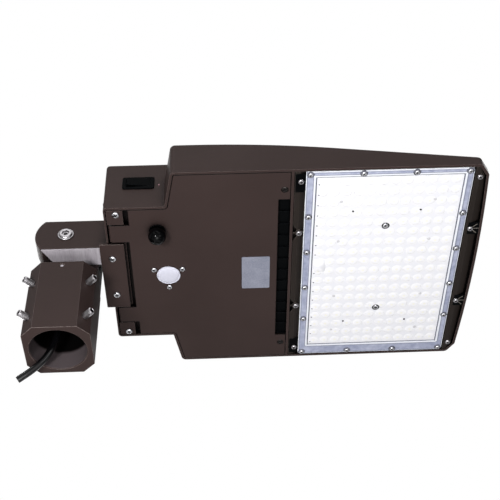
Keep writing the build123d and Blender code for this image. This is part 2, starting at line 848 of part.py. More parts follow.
# Seal on the door's inner face
with BuildPart() as door_gasket:
    with BuildSketch(Plane.XY.offset(door_top)):
        seal_inset = door_inset + gasket_inset
        add(plan_strip(seal_inset, gasket_start, gasket_end))
        add(plan_strip(seal_inset + gasket_width, gasket_start + gasket_width, gasket_end - gasket_width),
            mode=Mode.SUBTRACT)
    extrude(amount=gasket_thickness)
write(door_gasket.part, "door_gasket")

# Captive screws of the door: they stay in it when it swings down
door_screws = screw_row(
    door_screw_places, captive_seat, small_shank_d, door_screw_reach, small_head_d, small_head_height
)
write(door_screws, "door_screws")

# Hinge pins, pressed into the tabs and running in the corner blocks
with BuildPart() as hinge_pins:
    for side in (-1, 1):
        with BuildSketch(Plane.XZ.offset(-side * (tab_outer - pin_hold))):
            with Locations((hinge_x, hinge_z)):
                Circle(hinge_pin_d / 2)
        extrude(amount=-side * (block_inner + pin_grip - tab_outer + pin_hold))
write(hinge_pins.part, "hinge_pins")

# Photocell: a stem through the door held by a nut, and the dark dome under it
with BuildPart() as photocell_base:
    add(round_bars([(photocell_x, photocell_y)], rim_height - dome_flange, dome_flange_r, dome_flange))
    add(round_bars([(photocell_x, photocell_y)], rim_height, dome_stem_r, door_thickness + stem_above))
write(photocell_base.part, "photocell_base")

with BuildPart() as photocell_nut:
    with BuildSketch(Plane.XY.offset(door_top)):
        with Locations((photocell_x, photocell_y)):
            RegularPolygon(dome_flange_r, 6, major_radius=False)
            Circle(dome_stem_r + hole_gap, mode=Mode.SUBTRACT)
    extrude(amount=stem_above - running_gap)
write(photocell_nut.part, "photocell_nut")

with BuildPart() as photocell_dome:
    with Locations((photocell_x, photocell_y, rim_height - dome_drop)):
        Sphere(dome_r)
    split(bisect_by=Plane.XY.offset(rim_height - dome_flange), keep=Keep.BOTTOM)
write(photocell_dome.part, "photocell_dome")

# Motion sensor: the body above the door, its white lens below
with BuildPart() as sensor_body:
    add(round_bars([(sensor_x, sensor_y)], rim_height, sensor_neck_r, door_thickness))
    add(round_bars([(sensor_x, sensor_y)], door_top, sensor_flange_r, sensor_flange))
    add(round_bars([(sensor_x, sensor_y)], door_top, sensor_body_r, sensor_body_height))
    add(round_bars(sensor_places, door_top, small_hole_r, sensor_flange), mode=Mode.SUBTRACT)
write(sensor_body.part, "sensor_body")

with BuildPart() as sensor_lens:
    add(round_bars([(sensor_x, sensor_y)], rim_height - sensor_depth, sensor_r, sensor_depth))
    fillet(sensor_lens.edges().sort_by(Axis.Z)[0], sensor_depth * 0.6)
write(sensor_lens.part, "sensor_lens")

sensor_screws = screw_row(
    sensor_places, rim_height, small_shank_d, small_reach, small_head_d, small_head_height
)
write(sensor_screws, "sensor_screws")

# Blank metallised plate on the door
with BuildPart() as rating_plate:
    with BuildSketch(Plane.XY.offset(rim_height)):
        with Locations((label_x, label_y)):
            RectangleRounded(label_length, label_width, wall / 2)
    extrude(amount=-label_thickness)
write(rating_plate.part, "rating_plate")

# Black louvred baffle in the air slot
with BuildPart() as air_baffle:
    baffle_length = cross_wall - slot_start - baffle_gap
    baffle_width = slot_width - 2 * baffle_gap
    with BuildSketch(Plane.XY.offset(land)):
        with Locations((cross_wall - baffle_length / 2, 0)):
            Rectangle(baffle_length, baffle_width)
    extrude(amount=-baffle_web)
    with BuildSketch(Plane.XY.offset(land - baffle_web)):
        with Locations((cross_wall - baffle_length / 2, 0)):
            with GridLocations(0, (baffle_width - baffle_web) / baffle_louvres, 1, baffle_louvres + 1):
                Rectangle(baffle_length, baffle_web)
    extrude(amount=-baffle_rise)
write(air_baffle.part, "air_baffle")

# Heat sink: the plate that carries the light engine, with ledges below and fins above
with BuildPart() as heat_sink:
    with BuildSketch(Plane.XZ):
        with BuildLine():
            far_ledge = lens_end + ledge_gap
            Polyline(
                (engine_start, engine_top),
                (engine_start, ledge_bottom),
                (engine_start + ledge_flat, ledge_bottom),
                (lens_start - ledge_gap, engine_level),
                (far_ledge, engine_level),
                (far_ledge, ledge_bottom),
                (far_ledge + ledge_flat, ledge_bottom),
                (head_end, engine_level + ledge_flat / 2),
                (head_end, engine_top),
                close=True,
            )
        make_face()
    extrude(amount=head_half, both=True)
    with BuildSketch(Plane.XY.offset(engine_top)):
        with Locations(((fin_start + fin_end) / 2, 0)):
            with GridLocations(0, fin_pitch, 1, fin_count):
                Rectangle(fin_end - fin_start, fin_thickness)
    extrude(amount=wing_top - engine_top)
    extrude(crown_profile(fin_margin, head_start, head_end), amount=head_half, both=True, mode=Mode.INTERSECT)
    extrude(plan_strip(engine_inset, engine_start, engine_end), amount=box_top, mode=Mode.INTERSECT)
    # V-shaped pockets whose points are at the middle screws, with a rib down each
    with BuildSketch(Plane.XY.offset(ledge_bottom)):
        for screw_x, screw_y in engine_strut_places:
            base_x = engine_start if screw_x < lens_start else engine_end
            for side in (-1, 1):
                with BuildLine():
                    Polyline(
                        (screw_x, screw_y + side * strut_rib / 2),
                        (base_x, screw_y + side * strut_rib / 2),
                        (base_x, screw_y + side * strut_half),
                        close=True,
                    )
                make_face()
    extrude(amount=strut_depth, mode=Mode.SUBTRACT)
    boss_height = engine_top - ledge_bottom
    add(round_bars(engine_screw_places, ledge_bottom, engine_screw_boss, boss_height))
    add(round_bars(engine_screw_places, ledge_bottom, small_hole_r, boss_height), mode=Mode.SUBTRACT)
    add(round_bars(lens_screw_places, engine_level, lens_hole_r, lens_hold + hole_gap), mode=Mode.SUBTRACT)
write(heat_sink.part, "heat_sink")

module_reach = boss_height + small_reach - hole_gap
module_screws = screw_row(
    engine_screw_places, ledge_bottom, small_shank_d, module_reach, small_head_d, small_head_height
)
write(module_screws, "module_screws")

# Board with the light sources, flat on the heat sink
lens_x = (lens_start + lens_end) / 2
field_x = (field_start + field_end) / 2
field_length = field_end - field_start
room_length = field_length - 2 * field_wall
room_width = 2 * field_half - 2 * field_wall
with BuildPart() as led_board:
    with BuildSketch(Plane.XY.offset(engine_level)):
        with Locations((field_x, 0)):
            Rectangle(room_length - 2 * board_gap, room_width - 2 * board_gap)
    extrude(amount=-board_thickness)
write(led_board.part, "led_board")

# Gasket under the lens's flange
with BuildPart() as lens_gasket_ring:
    with BuildSketch(Plane.XY.offset(flange_top)):
        with Locations((lens_x, 0)):
            Rectangle(lens_length - lens_gasket, 2 * lens_half - lens_gasket)
            gasket_reach = 2 * lens_gasket_width
            Rectangle(lens_length - gasket_reach, 2 * lens_half - gasket_reach, mode=Mode.SUBTRACT)
    extrude(amount=lens_gasket)
    add(round_bars(lens_screw_places, flange_top, lens_hole_r, lens_gasket), mode=Mode.SUBTRACT)
write(lens_gasket_ring.part, "lens_gasket")

# Lens panel: a flange all round and a raised, hollow field over the light sources
with BuildPart() as lens_panel:
    with BuildSketch(Plane.XY.offset(flange_top)):
        with Locations((lens_x, 0)):
            RectangleRounded(lens_length, 2 * lens_half, lens_corner)
    extrude(amount=-lens_flange)
    with BuildSketch(Plane.XY.offset(flange_bottom)):
        with Locations((field_x, 0)):
            Rectangle(field_length, 2 * field_half)
    extrude(amount=-field_rise)
    chamfer(lens_panel.faces().sort_by(Axis.Z)[0].edges(), lens_bevel)
    with BuildSketch(Plane.XY.offset(flange_top)):
        with Locations((field_x, 0)):
            Rectangle(room_length, room_width)
    extrude(amount=-(lens_flange + field_rise - field_wall), mode=Mode.SUBTRACT)
    add(round_bars(lens_screw_places, flange_bottom, lens_hole_r, lens_flange), mode=Mode.SUBTRACT)
write(lens_panel.part, "lens_panel")

lens_reach = engine_level - flange_bottom + lens_hold
lens_screws = screw_row(
    lens_screw_places, flange_bottom, lens_shank_d, lens_reach, lens_head_d, lens_head_height
)
write(lens_screws, "lens_screws")

# Driver under the bay's roof, on two feet
with BuildPart() as led_driver:
    with BuildSketch(Plane.XY.offset(box_roof)):
        with Locations((driver_x, 0)):
            Rectangle(driver_width, driver_length)
    extrude(amount=-driver_height)
    chamfer(led_driver.faces().sort_by(Axis.Z)[0].edges(), driver_foot_thickness)
    with BuildSketch(Plane.XY.offset(box_roof)):
        with Locations((driver_x, 0)):
            Rectangle(driver_width / 2, driver_length + 2 * driver_foot)
    extrude(amount=-driver_foot_thickness)
    foot_bottom = box_roof - driver_foot_thickness
    add(round_bars(driver_screw_places, foot_bottom, small_hole_r, driver_foot_thickness), mode=Mode.SUBTRACT)
write(led_driver.part, "led_driver")

driver_reach = driver_foot_thickness + roof - 1 - hole_gap
driver_screws = screw_row(
    driver_screw_places, foot_bottom, small_shank_d, driver_reach, small_head_d, small_head_height
)
write(driver_screws, "driver_screws")

# Terminal block and surge protector, beside the driver
with BuildPart() as terminal_block:
    with BuildSketch(Plane.XY.offset(box_roof)):
        with Locations((terminal_x, 0)):
            Rectangle(terminal_length, terminal_width)
    extrude(amount=-terminal_height)
    with BuildSketch(Plane.XY.offset(box_roof - terminal_height)):
        with Locations((terminal_x, 0)):
            with GridLocations(0, terminal_width / terminal_ways, 1, terminal_ways):
                Circle(terminal_width / terminal_ways / 4)
    extrude(amount=terminal_height / 4, mode=Mode.SUBTRACT)
write(terminal_block.part, "terminal_block")

with BuildPart() as surge_protector:
    with BuildSketch(Plane.XY.offset(box_roof)):
        with Locations((surge_x, surge_y)):
            Circle(surge_r)
    extrude(amount=-surge_height)
    fillet(surge_protector.edges().sort_by(Axis.Z)[0], wall)
write(surge_protector.part, "surge_protector")

# Rocker switch: bezel and body in the shoulder's wall, hollow for the rocker's swing
axle_y = rocker_axle - shoulder_half
with BuildPart() as switch_body:
    with BuildSketch(Plane.XZ.offset(shoulder_half)):
        with Locations((switch_x, switch_height)):
            RectangleRounded(bezel_length, bezel_width, bezel_thickness)
    extrude(amount=bezel_thickness)
    chamfer(switch_body.faces().sort_by(Axis.Y)[0].edges(), bezel_thickness / 3)
    with BuildSketch(Plane.XZ.offset(shoulder_half)):
        with Locations((switch_x, switch_height)):
            Rectangle(switch_length, switch_width)
    extrude(amount=-switch_depth)
    with BuildSketch(Plane.XZ.offset(shoulder_half + bezel_thickness)):
        with Locations((switch_x, switch_height)):
            Rectangle(2 * (rocker_r + rocker_gap), rocker_width + 2 * rocker_gap)
    extrude(amount=-rocker_room, mode=Mode.SUBTRACT)
    with BuildSketch(Plane.XY.offset(switch_height)):
        with Locations((switch_x, axle_y)):
            Circle(rocker_pin_d / 2 + running_gap)
    extrude(amount=rocker_width / 2 + rocker_gap + rocker_pin_reach, both=True, mode=Mode.SUBTRACT)
write(switch_body.part, "switch_body")


def on_rocker(angle, radius=rocker_r):
    """A point at an angle from +X round the rocker's axle, positive outwards."""
    return (switch_x + radius * cos(radians(angle)), axle_y - radius * sin(radians(angle)))


with BuildPart() as rocker:
    with BuildSketch(Plane.XY.offset(switch_height)):
        with BuildLine():
            far_side = rocker_low
            near_side = 180 - rocker_low - rocker_swing
            root = degrees(atan(rocker_root / sqrt(rocker_r**2 - rocker_root**2)))
            valley = on_rocker((far_side + near_side) / 2, rocker_valley)
            Polyline(on_rocker(far_side), valley, on_rocker(near_side))
            ThreePointArc(on_rocker(near_side), on_rocker(180), on_rocker(180 + root))
            Line(on_rocker(180 + root), on_rocker(-root))
            ThreePointArc(on_rocker(-root), on_rocker(0), on_rocker(far_side))
        make_face()
    extrude(amount=rocker_width / 2, both=True)
    with BuildSketch(Plane.XY.offset(switch_height)):
        with Locations((switch_x, axle_y)):
            Circle(rocker_pin_d / 2)
    extrude(amount=rocker_width / 2 + rocker_pin_reach, both=True)
write(rocker.part, "rocker")
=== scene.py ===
import bmesh
import bpy
from math import cos, pi, radians, sin, tau
from mathutils import Matrix, Vector


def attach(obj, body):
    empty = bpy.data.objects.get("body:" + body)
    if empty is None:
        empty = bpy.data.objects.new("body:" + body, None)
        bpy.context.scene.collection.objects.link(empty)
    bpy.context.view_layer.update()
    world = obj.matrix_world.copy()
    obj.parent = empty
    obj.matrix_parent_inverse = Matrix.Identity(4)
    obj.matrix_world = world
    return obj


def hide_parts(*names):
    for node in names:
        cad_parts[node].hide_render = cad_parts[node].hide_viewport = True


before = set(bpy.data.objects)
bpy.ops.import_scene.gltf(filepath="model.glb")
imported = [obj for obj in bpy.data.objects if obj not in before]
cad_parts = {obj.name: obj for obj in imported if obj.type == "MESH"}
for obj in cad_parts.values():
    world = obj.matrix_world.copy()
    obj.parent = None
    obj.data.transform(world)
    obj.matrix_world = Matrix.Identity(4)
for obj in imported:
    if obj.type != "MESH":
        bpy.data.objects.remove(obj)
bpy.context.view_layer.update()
mm = 0.001


# View
# The light hangs above the eye on its pole, with its lens turned down to whoever looks up.
# The camera stands in front of it and below, a little rolled, as the photograph was taken.
eye = Vector((0.177835, -0.838636, -0.744731))
heading = radians(2.702)
climb = radians(46.885)
roll = radians(-3.662)
camera_lens = 72.842
sensor_width = 36.0
forward = Vector((sin(heading) * cos(climb), cos(heading) * cos(climb), sin(climb)))
level_right = Vector((cos(heading), -sin(heading), 0))
level_up = level_right.cross(forward)
right = level_right * cos(roll) + level_up * sin(roll)
up = level_up * cos(roll) - level_right * sin(roll)
camera = bpy.data.objects.new("camera", bpy.data.cameras.new("camera"))
camera.data.lens = camera_lens
camera.data.sensor_width = sensor_width
camera.matrix_world = Matrix.Translation(eye) @ Matrix((right, up, -forward)).transposed().to_4x4()
bpy.context.scene.collection.objects.link(camera)
bpy.context.scene.camera = camera
bpy.context.scene.view_settings.view_transform = "Standard"


# Room
# A white studio: a pale floor well below the hanging light, white walls, and six soft lamps.
# The camera sees white all round, and gloss and metal show a patchwork of soft boxes and gaps.
floor_height = -1.7
floor_half = 7.0
floor_colour = 0.86
room_level = 0.17


def add_node(tree, kind, **settings):
    """A shader node of one kind, with some of its settings."""
    node = tree.nodes.new("ShaderNode" + kind)
    for key, value in settings.items():
        setattr(node, key, value)
    return node


def larger(tree, *values):
    """The largest of some values, each a socket or a number."""
    last = values[0]
    for value in values[1:]:
        node = add_node(tree, "Math", operation="MAXIMUM")
        tree.links.new(last, node.inputs[0])
        tree.links.new(value, node.inputs[1])
        last = node.outputs[0]
    return last


def darker_sides(tree, place, near, far, least):
    """A value of 1 in front, which falls to the least where the room is far to the left or right."""
    across = add_node(tree, "SeparateXYZ")
    tree.links.new(place, across.inputs[0])
    size = add_node(tree, "Math", operation="ABSOLUTE")
    tree.links.new(across.outputs["X"], size.inputs[0])
    fall = add_node(tree, "MapRange", interpolation_type="SMOOTHSTEP")
    fall.inputs["From Min"].default_value = near
    fall.inputs["From Max"].default_value = far
    fall.inputs["To Min"].default_value = 1.0
    fall.inputs["To Max"].default_value = least
    tree.links.new(size.outputs[0], fall.inputs["Value"])
    return fall.outputs[0]


def room_light(tree, place, size, fade):
    """What the room shows, and where: a strength, and a value of 1 for rays that aren't diffuse.
    fade dims what gloss sees."""
    path = add_node(tree, "LightPath")
    boxes = add_node(tree, "TexNoise")
    boxes.inputs["Scale"].default_value = size
    boxes.inputs["Detail"].default_value = 1.0
    tree.links.new(place, boxes.inputs["Vector"])
    patch = add_node(tree, "MapRange")
    patch.inputs["From Min"].default_value = 0.42
    patch.inputs["From Max"].default_value = 0.53
    patch.inputs["To Min"].default_value = 0.22
    patch.inputs["To Max"].default_value = 1.4
    tree.links.new(boxes.outputs["Fac"], patch.inputs["Value"])
    plain = larger(tree, path.outputs["Is Camera Ray"], path.outputs["Is Transmission Ray"])
    dimmed = add_node(tree, "Math", operation="SUBTRACT")
    dimmed.inputs[0].default_value = 1.0
    tree.links.new(plain, dimmed.inputs[1])
    glossy = add_node(tree, "Math", operation="MULTIPLY")
    tree.links.new(patch.outputs[0], glossy.inputs[0])
    tree.links.new(dimmed.outputs[0], glossy.inputs[1])
    faded = add_node(tree, "Math", operation="MULTIPLY")
    tree.links.new(glossy.outputs[0], faded.inputs[0])
    tree.links.new(fade, faded.inputs[1])
    return larger(tree, plain, faded.outputs[0]), larger(tree, plain, path.outputs["Is Glossy Ray"])


room = bpy.data.worlds.new("room")
bpy.context.scene.world = room
room.use_nodes = True
walls = room.node_tree
walls.nodes.clear()
lit = add_node(walls, "Background")
lit.inputs["Color"].default_value = (0.98, 0.99, 1, 1)
spread = add_node(walls, "Math", operation="MULTIPLY")
spread.inputs[1].default_value = room_level
walls.links.new(
    darker_sides(walls, add_node(walls, "TexCoord").outputs["Generated"], 0.3, 0.9, 0.15), spread.inputs[0]
)
walls.links.new(spread.outputs[0], lit.inputs["Strength"])
shown = add_node(walls, "Background")
shown.inputs["Color"].default_value = (1, 1, 1, 1)
around = add_node(walls, "TexCoord").outputs["Generated"]
level, seen = room_light(walls, around, 2.4, darker_sides(walls, around, 0.4, 0.85, 0.25))
walls.links.new(level, shown.inputs["Strength"])
choose = add_node(walls, "MixShader")
walls.links.new(seen, choose.inputs[0])
walls.links.new(lit.outputs[0], choose.inputs[1])
walls.links.new(shown.outputs[0], choose.inputs[2])
walls.links.new(choose.outputs[0], add_node(walls, "OutputWorld").inputs["Surface"])

paper = bpy.data.materials.new("studio_paper")
paper.use_nodes = True
sheet = paper.node_tree
sheet.nodes.clear()
matt = add_node(sheet, "BsdfDiffuse")
paler = add_node(sheet, "Mix", data_type="RGBA")
paler.inputs["A"].default_value = (0, 0, 0, 1)
paler.inputs["B"].default_value = (floor_colour, floor_colour, floor_colour, 1)
sheet.links.new(
    darker_sides(sheet, add_node(sheet, "TexCoord").outputs["Object"], 0.8, 2.2, 0.2), paler.inputs["Factor"]
)
sheet.links.new(paler.outputs["Result"], matt.inputs["Color"])
glow = add_node(sheet, "Emission")
below = add_node(sheet, "TexCoord").outputs["Object"]
level, seen = room_light(sheet, below, 0.9, darker_sides(sheet, below, 1.0, 3.0, 0.3))
sheet.links.new(level, glow.inputs["Strength"])
half_seen = add_node(sheet, "Math", operation="MULTIPLY")
half_seen.inputs[1].default_value = 0.75
sheet.links.new(seen, half_seen.inputs[0])
blend = add_node(sheet, "MixShader")
sheet.links.new(half_seen.outputs[0], blend.inputs[0])
sheet.links.new(matt.outputs[0], blend.inputs[1])
sheet.links.new(glow.outputs[0], blend.inputs[2])
sheet.links.new(blend.outputs[0], add_node(sheet, "OutputMaterial").inputs["Surface"])
floor_mesh = bpy.data.meshes.new("studio_floor")
floor_mesh.from_pydata(
    [(x * floor_half, y * floor_half, floor_height) for x, y in ((-1, -1), (1, -1), (1, 1), (-1, 1))],
    [],
    [(0, 1, 2, 3)],
)
floor_mesh.materials.append(paper)
floor = bpy.data.objects.new("studio_floor", floor_mesh)
bpy.context.scene.collection.objects.link(floor)


def soft_lamp(name, place, aim, width, watts):
    """A square soft box that lights the object and isn't seen itself."""
    lamp = bpy.data.lights.new(name, "AREA")
    lamp.size = width
    lamp.energy = watts
    box = bpy.data.objects.new(name, lamp)
    turn = (Vector(aim) - Vector(place)).to_track_quat("-Z", "Y").to_matrix().to_4x4()
    box.matrix_world = Matrix.Translation(place) @ turn
    box.visible_camera = False
    bpy.context.scene.collection.objects.link(box)


middle = (0.2, 0.0, 0.12)
soft_lamp("left_lamp", (-0.3, -1.05, -0.9), middle, 0.3, 17.5)
soft_lamp("right_lamp", (1.1, -0.95, -0.7), middle, 0.6, 2.0)
soft_lamp("low_lamp", (0.15, -0.5, -1.3), middle, 0.7, 8.6)
soft_lamp("high_lamp", (-0.2, -1.2, 0.9), middle, 0.8, 2.0)
soft_lamp("back_lamp", (-0.6, 1.5, 0.9), middle, 1.0, 18.0)
soft_lamp("roof_lamp", (0.9, 0.5, 1.6), middle, 1.0, 14.0)


# Supply cord
# A black flexible cord, 8 mm over its jacket, that comes out of the rubber bushing in the sleeve's
# roof, hangs down the bore, bends out of its mouth and ends in a square cut.
cord_d = 8.0 * mm
cord_route = (
    (0.0, 0.0, 76.0),
    (0.0, 0.0, 60.0),
    (-1.4, 2.0, 43.0),
    (-4.2, 6.0, 27.4),
    (-9.2, 10.6, 12.8),
    (-16.8, 14.6, 0.4),
    (-26.6, 18.0, -8.6),
    (-37.0, 21.2, -15.6),
    (-45.5, 23.6, -20.4),
)


def shade(red, green, blue):
    """A colour as a paint card gives it, from 0 to 255, in the light units that a shader takes."""
    parts = [part / 255 for part in (red, green, blue)]
    return tuple(part / 12.92 if part <= 0.04045 else ((part + 0.055) / 1.055) ** 2.4 for part in parts)


def uneven(
    name,
    light,
    dark,
    roughness,
    grain=900.0,
    grain_height=0.05,
    drift=18.0,
    stretch=(1, 1, 1),
    metallic=0.0,
    specular=0.5,
    edge=0.0,
    edge_paint=None,
    polish=0.12,
    crevice=0.0,
    clear_of=(0.42, 0.88),
    murk=0.15,
):
    """A finish that drifts between two shades, with a fine grain in its height and its gloss.
    edge is how far a corner is rounded; the colour given for such a corner is painted along it, a
    painted highlight where it is lighter than the finish and painted shade where it is darker.
    crevice is how wide a gap can be that is painted dark as painted shade, clear_of the openness
    from that painted shade to clear, and murk how much of the colour is left in it."""
    finish = bpy.data.materials.new(name)
    finish.use_nodes = True
    tree = finish.node_tree
    shader = tree.nodes["Principled BSDF"]
    shader.inputs["Metallic"].default_value = metallic
    shader.inputs["Specular IOR Level"].default_value = specular
    place = add_node(tree, "TexCoord")
    mapping = add_node(tree, "Mapping")
    mapping.inputs["Scale"].default_value = stretch
    tree.links.new(place.outputs["Object"], mapping.inputs["Vector"])
    cloud = add_node(tree, "TexNoise")
    cloud.inputs["Scale"].default_value = drift
    cloud.inputs["Detail"].default_value = 3
    speck = add_node(tree, "TexNoise")
    speck.inputs["Scale"].default_value = grain
    speck.inputs["Detail"].default_value = 2
    for noise in (cloud, speck):
        tree.links.new(mapping.outputs[0], noise.inputs["Vector"])
    both = add_node(tree, "Math", operation="ADD")
    tree.links.new(cloud.outputs["Fac"], both.inputs[0])
    tree.links.new(speck.outputs["Fac"], both.inputs[1])
    spread = add_node(tree, "MapRange")
    spread.inputs["From Min"].default_value = 0.7
    spread.inputs["From Max"].default_value = 1.3
    tree.links.new(both.outputs[0], spread.inputs["Value"])
    colour = add_node(tree, "Mix", data_type="RGBA")
    colour.inputs["A"].default_value = (*dark, 1)
    colour.inputs["B"].default_value = (*light, 1)
    tree.links.new(spread.outputs[0], colour.inputs["Factor"])
    out = colour.outputs["Result"]
    gloss = add_node(tree, "MapRange")
    gloss.inputs["To Min"].default_value = roughness - polish / 2
    gloss.inputs["To Max"].default_value = roughness + polish / 2
    tree.links.new(speck.outputs["Fac"], gloss.inputs["Value"])
    tree.links.new(gloss.outputs[0], shader.inputs["Roughness"])
    bump = add_node(tree, "Bump")
    bump.inputs["Strength"].default_value = 1.0
    bump.inputs["Distance"].default_value = grain_height * mm
    tree.links.new(speck.outputs["Fac"], bump.inputs["Height"])
    # Rounded corners are painted in the edge colour: a painted highlight, or painted shade where it is
    # darker.
    if edge:
        rounding = add_node(tree, "Bevel", samples=6)
        rounding.inputs["Radius"].default_value = edge * mm
        tree.links.new(rounding.outputs[0], bump.inputs["Normal"])
        flat = add_node(tree, "NewGeometry")
        turn = add_node(tree, "VectorMath", operation="DOT_PRODUCT")
        tree.links.new(rounding.outputs[0], turn.inputs[0])
        tree.links.new(flat.outputs["Normal"], turn.inputs[1])
        edge_mask = add_node(tree, "MapRange")
        edge_mask.inputs["From Min"].default_value = 0.99
        edge_mask.inputs["From Max"].default_value = 0.8
        tree.links.new(turn.outputs["Value"], edge_mask.inputs["Value"])
        edge_tint = add_node(tree, "Mix", data_type="RGBA")
        edge_tint.inputs["B"].default_value = (*(edge_paint or light), 1)
        tree.links.new(edge_mask.outputs[0], edge_tint.inputs["Factor"])
        tree.links.new(out, edge_tint.inputs["A"])
        out = edge_tint.outputs["Result"]
    # Gaps and hollows are painted dark from ambient occlusion: painted shade.
    if crevice:
        open_air = add_node(tree, "AmbientOcclusion", samples=6)
        open_air.inputs["Distance"].default_value = crevice * mm
        depth = add_node(tree, "MapRange")
        depth.inputs["From Min"].default_value = clear_of[0]
        depth.inputs["From Max"].default_value = clear_of[1]
        tree.links.new(open_air.outputs["AO"], depth.inputs["Value"])
        if edge:
            tree.links.new(rounding.outputs[0], open_air.inputs["Normal"])
        crevice_shade = add_node(tree, "Mix", data_type="RGBA")
        crevice_shade.inputs["A"].default_value = (*(murk * part for part in dark), 1)
        tree.links.new(depth.outputs[0], crevice_shade.inputs["Factor"])
        tree.links.new(out, crevice_shade.inputs["B"])
        out = crevice_shade.outputs["Result"]
    tree.links.new(out, shader.inputs["Base Color"])
    tree.links.new(bump.outputs[0], shader.inputs["Normal"])
    return finish


jacket = uneven(
    "cord_jacket",
    light=shade(7, 7, 9),
    dark=shade(3, 3, 4),
    roughness=0.12,
    polish=0.04,
    grain=260.0,
    grain_height=0.03,
    drift=40.0,
    specular=0.5,
)
line = bpy.data.curves.new("supply_lead", "CURVE")
line.dimensions = "3D"
line.bevel_depth = cord_d / 2
line.bevel_resolution = 7
line.resolution_u = 16
line.use_fill_caps = True
run = line.splines.new("NURBS")
run.points.add(len(cord_route) - 1)
for point, place in zip(run.points, cord_route):
    point.co = (place[0] * mm, place[1] * mm, place[2] * mm, 1)
run.order_u = 3
run.use_endpoint_u = True
supply_lead = bpy.data.objects.new("supply_lead", line)
supply_lead.data.materials.append(jacket)
bpy.context.scene.collection.objects.link(supply_lead)
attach(supply_lead, "sleeve")
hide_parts("supply_cord")


# Sleeve and knuckle casting
# The sleeve that slips over the pole's tenon is die-cast aluminium under a dark bronze powder coat,
# satin and a little mottled, with a painted highlight along its corners and painted shade in its
# hollows. Its bore has a painted pool of light near the mouth and a painted shadow above.
def dress(finish, *names):
    """Gives CAD nodes their finish and leaves their shape as it was packed."""
    for name in names:
        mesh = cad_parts[name].data
        mesh.materials.clear()
        mesh.materials.append(finish)


coat = {
    "roughness": 0.46,
    "grain": 1500.0,
    "grain_height": 0.012,
    "drift": 9.0,
    "specular": 0.1,
    "edge": 0.8,
    "murk": 0.02,
}
bronze_shades = {"light": shade(61, 49, 47), "dark": shade(53, 42, 40)}
sleeve_coat = uneven(
    "sleeve_powder_coat",
    edge_paint=shade(150, 138, 134),
    crevice=60.0,
    clear_of=(0.1, 0.42),
    **bronze_shades,
    **coat,
)
# The housing's coat has a painted highlight along its corners and painted shade in its gaps and inner
# corners.
bronze = uneven(
    "bronze_powder_coat",
    edge_paint=shade(100, 88, 85),
    crevice=14.0,
    clear_of=(0.45, 0.85),
    **bronze_shades,
    **coat,
)


def paint(finish, distance, start, end, colour, soft=0.25):
    """Gives a finish another colour from one distance to another."""
    tree = finish.node_tree
    base = tree.nodes["Principled BSDF"].inputs["Base Color"]
    off = add_node(tree, "Math", operation="SUBTRACT")
    off.inputs[1].default_value = (start + end) / 2
    tree.links.new(distance, off.inputs[0])
    size = add_node(tree, "Math", operation="ABSOLUTE")
    tree.links.new(off.outputs[0], size.inputs[0])
    within = add_node(tree, "MapRange")
    within.inputs["From Min"].default_value = (end - start) / 2 + soft
    within.inputs["From Max"].default_value = (end - start) / 2 - soft
    tree.links.new(size.outputs[0], within.inputs["Value"])
    tint = add_node(tree, "Mix", data_type="RGBA")
    tree.links.new(within.outputs[0], tint.inputs["Factor"])
    tree.links.new(base.links[0].from_socket, tint.inputs["A"])
    tint.inputs["B"].default_value = (*shade(*colour), 1)
    tree.links.new(tint.outputs["Result"], base)


def through(tree, last, *steps):
    """Takes a place through vector sums in turn. Each is its name, and its other vector or None."""
    for operation, value in steps:
        step = add_node(tree, "VectorMath", operation=operation)
        tree.links.new(last, step.inputs[0])
        if value:
            step.inputs[1].default_value = value
        last = step.outputs["Value" if operation in ("LENGTH", "DOT_PRODUCT") else "Vector"]
    return last


# The bore's wall is painted light near the mouth as a pool of light, and dark above as a shadow.
bore_lit_paint = 84, 76, 78
bore_shadow = 5, 4, 4
bore_wall = 31.6
bore_lit_to = 25.0
bore_top = 91.5
far_below = -500.0
tree = sleeve_coat.node_tree
place = add_node(tree, "TexCoord").outputs["Object"]
from_axis = through(tree, place, ("MULTIPLY", (1 / mm, 1 / mm, 0)), ("LENGTH", None))
past_wall = add_node(tree, "MapRange")
past_wall.inputs["From Min"].default_value = bore_wall
past_wall.inputs["From Max"].default_value = bore_wall + 0.2
past_wall.inputs["To Min"].default_value = 0.0
past_wall.inputs["To Max"].default_value = far_below
tree.links.new(from_axis, past_wall.inputs["Value"])
heights = add_node(tree, "SeparateXYZ")
tree.links.new(place, heights.inputs[0])
bore_height = add_node(tree, "Math", operation="MULTIPLY_ADD")
bore_height.inputs[1].default_value = 1 / mm
tree.links.new(heights.outputs["Z"], bore_height.inputs[0])
tree.links.new(past_wall.outputs[0], bore_height.inputs[2])
paint(sleeve_coat, bore_height.outputs[0], -2.0, bore_lit_to, bore_lit_paint, soft=1.0)
paint(sleeve_coat, bore_height.outputs[0], bore_lit_to - 1.0, bore_top, bore_shadow, soft=2.5)
dress(sleeve_coat, "tenon_sleeve")


# Cable bushing
# Moulded black rubber, pressed up into the sleeve's roof so that the cord doesn't chafe there. The
# driver door's seal is the same rubber.
rubber = uneven(
    "bushing_rubber",
    light=shade(26, 25, 25),
    dark=shade(15, 15, 15),
    roughness=0.62,
    grain=700.0,
    grain_height=0.03,
    specular=0.2,
)
dress(rubber, "cable_bushing", "door_gasket")


# Set screws
# Four stainless set screws clamp the sleeve on the tenon. Each is a threaded rod with a
# chamfered outer end and a hexagon socket, turned in through a corner face of the sleeve.
def skin(shape, loops, inner=0):
    """Faces between loops of points, and over the first and the last.
    The inner ones, counted from the last, take a piece's second finish."""
    steps = len(loops[0])
    bands = []
    for low, high in zip(loops, loops[1:]):
        bands.append([shape.faces.new((low[n], low[n - 1], high[n - 1], high[n])) for n in range(steps)])
    shape.faces.new(loops[0])
    bands.append([shape.faces.new(loops[-1])])
    for band in bands[len(bands) - inner:]:
        for face in band:
            face.material_index = 1


